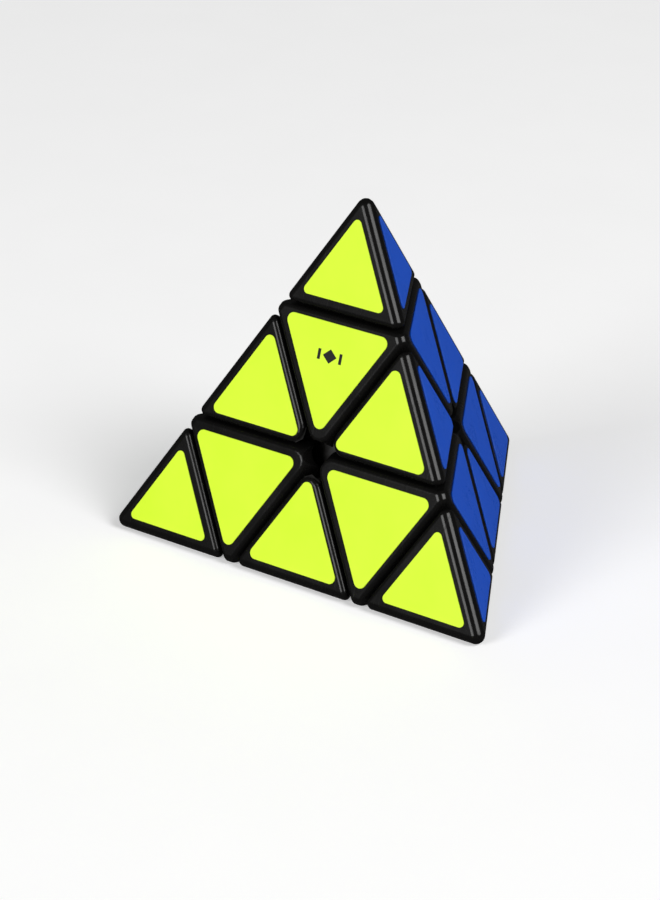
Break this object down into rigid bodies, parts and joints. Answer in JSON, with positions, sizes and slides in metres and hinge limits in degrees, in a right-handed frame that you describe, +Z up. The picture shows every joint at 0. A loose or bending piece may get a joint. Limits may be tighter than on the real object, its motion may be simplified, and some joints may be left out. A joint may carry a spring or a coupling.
{
  "type": "pyramid twisty puzzle",
  "caption": "Tetrahedral twisty puzzle in black plastic with a coloured sticker on every triangle; its corner layers and small tips turn about axes through a central core.",
  "frame": {"origin": "centre of the core, where the four turning axes meet", "axes": "+Z up along the top corner's axis, -Y towards the yellow face, +X to the right"},
  "size_m": [0.092, 0.0805, 0.0762],
  "materials": {
    "shell_plastic": "satin-gloss moulded black plastic",
    "inner_plastic": "dull moulded black plastic",
    "core_plastic": "dull dark grey nylon",
    "screw_steel": "zinc plated",
    "spring_steel": "drawn spring wire",
    "yellow_vinyl": "fluorescent yellow vinyl film",
    "blue_vinyl": "blue vinyl film",
    "green_vinyl": "green vinyl film",
    "red_vinyl": "red vinyl film",
    "mark_ink": "thin black printing ink"
  },
  "bodies": {
    "core": {"core": "core_plastic", "top_screw": "screw_steel", "top_spring": "spring_steel", "left_screw": "screw_steel", "left_spring": "spring_steel", "right_screw": "screw_steel", "right_spring": "spring_steel", "back_screw": "screw_steel", "back_spring": "spring_steel"},
    "top_axial_piece": {"top_axial": "shell_plastic", "yellow_sticker_top_axial": "yellow_vinyl", "blue_sticker_top_axial": "blue_vinyl", "green_sticker_top_axial": "green_vinyl"},
    "top_tip": {"top_tip_cap": "shell_plastic", "top_tip_base": "inner_plastic", "yellow_sticker_top_tip": "yellow_vinyl", "blue_sticker_top_tip": "blue_vinyl", "green_sticker_top_tip": "green_vinyl"},
    "left_axial_piece": {"left_axial": "shell_plastic", "yellow_sticker_left_axial": "yellow_vinyl", "green_sticker_left_axial": "green_vinyl"},
    "left_tip": {"left_tip_cap": "shell_plastic", "left_tip_base": "inner_plastic", "yellow_sticker_left_tip": "yellow_vinyl", "green_sticker_left_tip": "green_vinyl"},
    "right_axial_piece": {"right_axial": "shell_plastic", "yellow_sticker_right_axial": "yellow_vinyl", "blue_sticker_right_axial": "blue_vinyl"},
    "right_tip": {"right_tip_cap": "shell_plastic", "right_tip_base": "inner_plastic", "yellow_sticker_right_tip": "yellow_vinyl", "blue_sticker_right_tip": "blue_vinyl"},
    "back_axial_piece": {"back_axial": "shell_plastic", "blue_sticker_back_axial": "blue_vinyl", "green_sticker_back_axial": "green_vinyl"},
    "back_tip": {"back_tip_cap": "shell_plastic", "back_tip_base": "inner_plastic", "blue_sticker_back_tip": "blue_vinyl", "green_sticker_back_tip": "green_vinyl"},
    "top_left_edge": {"top_left_edge_shell": "shell_plastic", "top_left_edge_foot": "inner_plastic", "yellow_sticker_top_left_edge": "yellow_vinyl", "green_sticker_top_left_edge": "green_vinyl"},
    "top_right_edge": {"top_right_edge_shell": "shell_plastic", "top_right_edge_foot": "inner_plastic", "yellow_sticker_top_right_edge": "yellow_vinyl", "blue_sticker_top_right_edge": "blue_vinyl"},
    "top_back_edge": {"top_back_edge_shell": "shell_plastic", "top_back_edge_foot": "inner_plastic", "blue_sticker_top_back_edge": "blue_vinyl", "green_sticker_top_back_edge": "green_vinyl"},
    "left_right_edge": {"left_right_edge_shell": "shell_plastic", "left_right_edge_foot": "inner_plastic", "yellow_sticker_left_right_edge": "yellow_vinyl"},
    "right_back_edge": {"right_back_edge_shell": "shell_plastic", "right_back_edge_foot": "inner_plastic", "blue_sticker_right_back_edge": "blue_vinyl"},
    "back_left_edge": {"back_left_edge_shell": "shell_plastic", "back_left_edge_foot": "inner_plastic", "green_sticker_back_left_edge": "green_vinyl"}
  },
  "joints": [
    {"name": "top_layer_turn", "type": "hinge", "parent": "core", "child": "top_axial_piece", "pos_m": [0, 0, 0], "axis": [0, 0, 1], "continuous": true},
    {"name": "left_layer_turn", "type": "hinge", "parent": "core", "child": "left_axial_piece", "pos_m": [0, 0, 0], "axis": [-0.8165, -0.4714, -0.3333], "range_deg": [-360, 360]},
    {"name": "right_layer_turn", "type": "hinge", "parent": "core", "child": "right_axial_piece", "pos_m": [0, 0, 0], "axis": [0.8165, -0.4714, -0.3333], "range_deg": [-360, 360]},
    {"name": "back_layer_turn", "type": "hinge", "parent": "core", "child": "back_axial_piece", "pos_m": [0, 0, 0], "axis": [0, 0.9428, -0.3333], "range_deg": [-360, 360]},
    {"name": "top_tip_turn", "type": "hinge", "parent": "top_axial_piece", "child": "top_tip", "pos_m": [0, 0, 0], "axis": [0, 0, 1], "continuous": true},
    {"name": "left_tip_turn", "type": "hinge", "parent": "left_axial_piece", "child": "left_tip", "pos_m": [0, 0, 0], "axis": [-0.8165, -0.4714, -0.3333], "continuous": true},
    {"name": "right_tip_turn", "type": "hinge", "parent": "right_axial_piece", "child": "right_tip", "pos_m": [0, 0, 0], "axis": [0.8165, -0.4714, -0.3333], "continuous": true},
    {"name": "back_tip_turn", "type": "hinge", "parent": "back_axial_piece", "child": "back_tip", "pos_m": [0, 0, 0], "axis": [0, 0.9428, -0.3333], "continuous": true},
    {"name": "top_left_edge_follows_left_layer", "type": "hinge", "parent": "top_axial_piece", "child": "top_left_edge", "pos_m": [0, 0, 0], "axis": [-0.8165, -0.4714, -0.3333], "range_deg": [-360, 360]},
    {"name": "top_right_edge_follows_right_layer", "type": "hinge", "parent": "top_axial_piece", "child": "top_right_edge", "pos_m": [0, 0, 0], "axis": [0.8165, -0.4714, -0.3333], "range_deg": [-360, 360]},
    {"name": "top_back_edge_follows_back_layer", "type": "hinge", "parent": "top_axial_piece", "child": "top_back_edge", "pos_m": [0, 0, 0], "axis": [0, 0.9428, -0.3333], "range_deg": [-360, 360]},
    {"name": "left_right_edge_follows_right_layer", "type": "hinge", "parent": "left_axial_piece", "child": "left_right_edge", "pos_m": [0, 0, 0], "axis": [0.8165, -0.4714, -0.3333], "range_deg": [-360, 360]},
    {"name": "right_back_edge_follows_back_layer", "type": "hinge", "parent": "right_axial_piece", "child": "right_back_edge", "pos_m": [0, 0, 0], "axis": [0, 0.9428, -0.3333], "range_deg": [-360, 360]},
    {"name": "back_left_edge_follows_left_layer", "type": "hinge", "parent": "back_axial_piece", "child": "back_left_edge", "pos_m": [0, 0, 0], "axis": [-0.8165, -0.4714, -0.3333], "range_deg": [-360, 360]}
  ],
  "couplings": [
    {"joint": "top_left_edge_follows_left_layer", "follows": "left_layer_turn", "ratio": 1},
    {"joint": "top_right_edge_follows_right_layer", "follows": "right_layer_turn", "ratio": 1},
    {"joint": "top_back_edge_follows_back_layer", "follows": "back_layer_turn", "ratio": 1},
    {"joint": "left_right_edge_follows_right_layer", "follows": "right_layer_turn", "ratio": 1},
    {"joint": "right_back_edge_follows_back_layer", "follows": "back_layer_turn", "ratio": 1},
    {"joint": "back_left_edge_follows_left_layer", "follows": "left_layer_turn", "ratio": 1}
  ]
}
